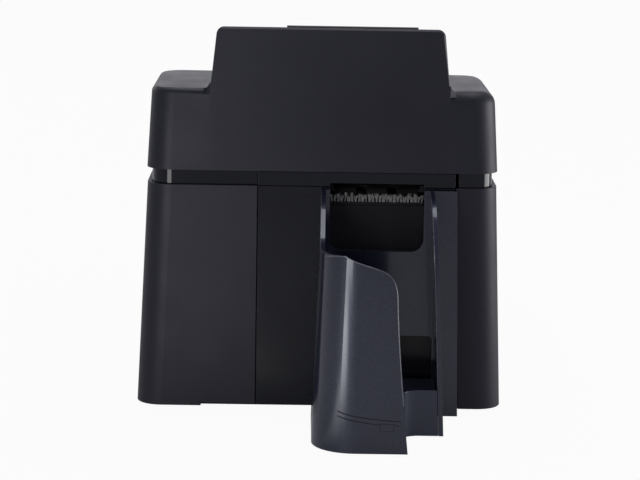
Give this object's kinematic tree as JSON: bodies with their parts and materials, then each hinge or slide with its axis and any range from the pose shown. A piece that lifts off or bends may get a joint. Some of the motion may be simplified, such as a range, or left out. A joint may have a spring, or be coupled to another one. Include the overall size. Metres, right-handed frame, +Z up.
{
  "type": "desktop plastic card printer",
  "caption": "Desktop plastic card printer: dark casing with a raised card stack end, hinged lid and door, and an open output hopper below the card exit.",
  "frame": {"origin": "on the table under the middle of the body and its output hopper", "axes": "+X to the right seen from the card exit, +Y towards the rear, +Z up"},
  "size_m": [0.234, 0.475, 0.2498],
  "materials": {
    "casing": "fine matt grain",
    "door": "matt",
    "inner_black": "matt",
    "gloss_black": "glossy",
    "gloss_band": "high gloss",
    "hopper": "satin metallic paint",
    "hopper_floor": "satin metallic paint",
    "foot_rubber": "matt",
    "bristle": "fibrous",
    "sheet_steel": "zinc plated",
    "steel": "turned",
    "bush": "smooth",
    "weight": "satin",
    "tilt": "smooth",
    "roller_rubber": "ground",
    "pick_rubber": "ground",
    "clean_rubber": "tacky",
    "belt": "matt",
    "motor": "satin",
    "pinion": "cut",
    "cartridge": "smooth",
    "supply_ribbon": "glossy film",
    "used_ribbon": "glossy film",
    "head_alloy": "satin",
    "board": "solder mask",
    "socket": "matt",
    "port": "plated",
    "display": "glossy",
    "button": "smooth"
  },
  "bodies": {
    "base": {"base_shell": "casing", "base_pan": "inner_black", "rubber_feet": "foot_rubber", "front_panel": "gloss_black", "band_front": "gloss_band", "band_trim": "gloss_band", "rear_cover": "casing", "lid_hinge_pin": "steel", "brush_holder": "inner_black", "static_brush": "bristle", "frame_left": "sheet_steel", "frame_right": "sheet_steel", "tie_rods": "steel", "shaft_bushes": "bush", "input_well": "inner_black", "exit_guide": "inner_black", "path_guide": "inner_black", "drive_motor": "motor", "drive_belt": "belt", "exit_belt": "belt", "pick_motor": "motor", "motor_bracket": "sheet_steel", "ribbon_motor": "motor", "ribbon_cartridge": "cartridge", "ribbon_film": "supply_ribbon", "head_motor": "motor", "main_board": "board", "power_supply": "head_alloy", "power_inlet": "socket", "data_ports": "port", "control_panel": "inner_black", "display_window": "display", "panel_board": "board"},
    "lid": {"lid_shell": "casing", "door_hinge_pins": "steel"},
    "input_door": {"input_door": "door"},
    "output_hopper": {"output_hopper": "hopper", "hopper_floor": "hopper_floor"},
    "card_weight": {"card_weight": "weight"},
    "tilt_guide": {"tilt_guide": "tilt"},
    "exit_roller": {"exit_roller": "roller_rubber"},
    "pick_roller": {"pick_shaft": "steel", "pick_roller": "pick_rubber"},
    "feed_roller": {"feed_shaft": "steel", "feed_roller": "roller_rubber"},
    "platen_roller": {"platen_shaft": "steel", "platen_roller": "roller_rubber"},
    "rear_roller": {"rear_shaft": "steel", "rear_roller": "roller_rubber"},
    "cleaning_roller": {"cleaning_roller": "clean_rubber"},
    "drive_pulley": {"drive_pulley": "steel"},
    "pick_pinion": {"pick_pinion": "pinion"},
    "ribbon_pinion": {"ribbon_pinion": "pinion"},
    "supply_spool": {"supply_spool": "supply_ribbon"},
    "take_up_spool": {"take_up_spool": "used_ribbon"},
    "print_head": {"print_head": "head_alloy", "head_bracket": "head_alloy"},
    "head_cam": {"head_cam": "bush"},
    "button_feed": {"button_feed": "button"},
    "button_cancel": {"button_cancel": "button"}
  },
  "joints": [
    {"name": "lid_hinge", "type": "hinge", "parent": "base", "child": "lid", "pos_m": [0, 0.1995, 0.17791], "axis": [-1, 0, 0], "range_deg": [0, 75]},
    {"name": "input_door_hinge", "type": "hinge", "parent": "lid", "child": "input_door", "pos_m": [0.0204, -0.0513, 0.23616], "axis": [-1, 0, 0], "range_deg": [0, 95]},
    {"name": "hopper_pull", "type": "slide", "parent": "base", "child": "output_hopper", "axis": [0, -1, 0], "range_m": [0, 0.06]},
    {"name": "card_weight_lift", "type": "slide", "parent": "base", "child": "card_weight", "axis": [0, 0, 1], "range_m": [0, 0.05]},
    {"name": "tilt_guide_hinge", "type": "hinge", "parent": "base", "child": "tilt_guide", "pos_m": [0.0345, -0.0045, 0.153], "axis": [1, 0, 0], "range_deg": [-10, 10]},
    {"name": "feed_turn", "type": "hinge", "parent": "base", "child": "feed_roller", "pos_m": [0.0345, 0.0095, 0.148], "axis": [1, 0, 0], "continuous": true},
    {"name": "exit_turn", "type": "hinge", "parent": "base", "child": "exit_roller", "pos_m": [0.0345, -0.1325, 0.14], "axis": [1, 0, 0], "continuous": true},
    {"name": "platen_turn", "type": "hinge", "parent": "base", "child": "platen_roller", "pos_m": [0.0345, 0.0845, 0.145], "axis": [1, 0, 0], "continuous": true},
    {"name": "rear_turn", "type": "hinge", "parent": "base", "child": "rear_roller", "pos_m": [0.0345, 0.1405, 0.148], "axis": [1, 0, 0], "continuous": true},
    {"name": "drive_turn", "type": "hinge", "parent": "base", "child": "drive_pulley", "pos_m": [0.0345, 0.0745, 0.098], "axis": [1, 0, 0], "continuous": true},
    {"name": "pick_turn", "type": "hinge", "parent": "base", "child": "pick_roller", "pos_m": [0.0345, -0.0725, 0.157], "axis": [1, 0, 0], "continuous": true},
    {"name": "pick_pinion_turn", "type": "hinge", "parent": "base", "child": "pick_pinion", "pos_m": [0.0345, -0.0725, 0.1338], "axis": [1, 0, 0], "continuous": true},
    {"name": "cleaning_turn", "type": "hinge", "parent": "base", "child": "cleaning_roller", "pos_m": [0.0345, 0.0095, 0.16376], "axis": [1, 0, 0], "continuous": true},
    {"name": "take_up_turn", "type": "hinge", "parent": "base", "child": "take_up_spool", "pos_m": [0.0345, 0.0465, 0.178], "axis": [1, 0, 0], "continuous": true},
    {"name": "supply_turn", "type": "hinge", "parent": "base", "child": "supply_spool", "pos_m": [0.0345, 0.1325, 0.171], "axis": [1, 0, 0], "continuous": true},
    {"name": "ribbon_pinion_turn", "type": "hinge", "parent": "base", "child": "ribbon_pinion", "pos_m": [0.0345, 0.0465, 0.1572], "axis": [1, 0, 0], "continuous": true},
    {"name": "head_cam_turn", "type": "hinge", "parent": "base", "child": "head_cam", "pos_m": [0.0345, 0.0995, 0.168], "axis": [-1, 0, 0], "range_deg": [0, 90]},
    {"name": "print_head_lift", "type": "hinge", "parent": "base", "child": "print_head", "pos_m": [0.0345, 0.1075, 0.179], "axis": [-1, 0, 0], "range_deg": [0, 8]},
    {"name": "button_feed_press", "type": "slide", "parent": "base", "child": "button_feed", "axis": [-0.999, 0, -0.0437], "range_m": [0, 0.001], "stiffness_N_per_m": 500, "springref_m": -0.001},
    {"name": "button_cancel_press", "type": "slide", "parent": "base", "child": "button_cancel", "axis": [-0.999, 0, -0.0437], "range_m": [0, 0.001], "stiffness_N_per_m": 500, "springref_m": -0.001}
  ],
  "couplings": [
    {"joint": "exit_turn", "follows": "feed_turn", "ratio": 1},
    {"joint": "platen_turn", "follows": "feed_turn", "ratio": 0.7},
    {"joint": "rear_turn", "follows": "feed_turn", "ratio": 1},
    {"joint": "drive_turn", "follows": "feed_turn", "ratio": 1.4},
    {"joint": "pick_pinion_turn", "follows": "pick_turn", "ratio": -3.1429},
    {"joint": "supply_turn", "follows": "take_up_turn", "ratio": 0.64},
    {"joint": "ribbon_pinion_turn", "follows": "take_up_turn", "ratio": -2.7143},
    {"joint": "head_cam_turn", "follows": "print_head_lift", "ratio": 11.25}
  ]
}
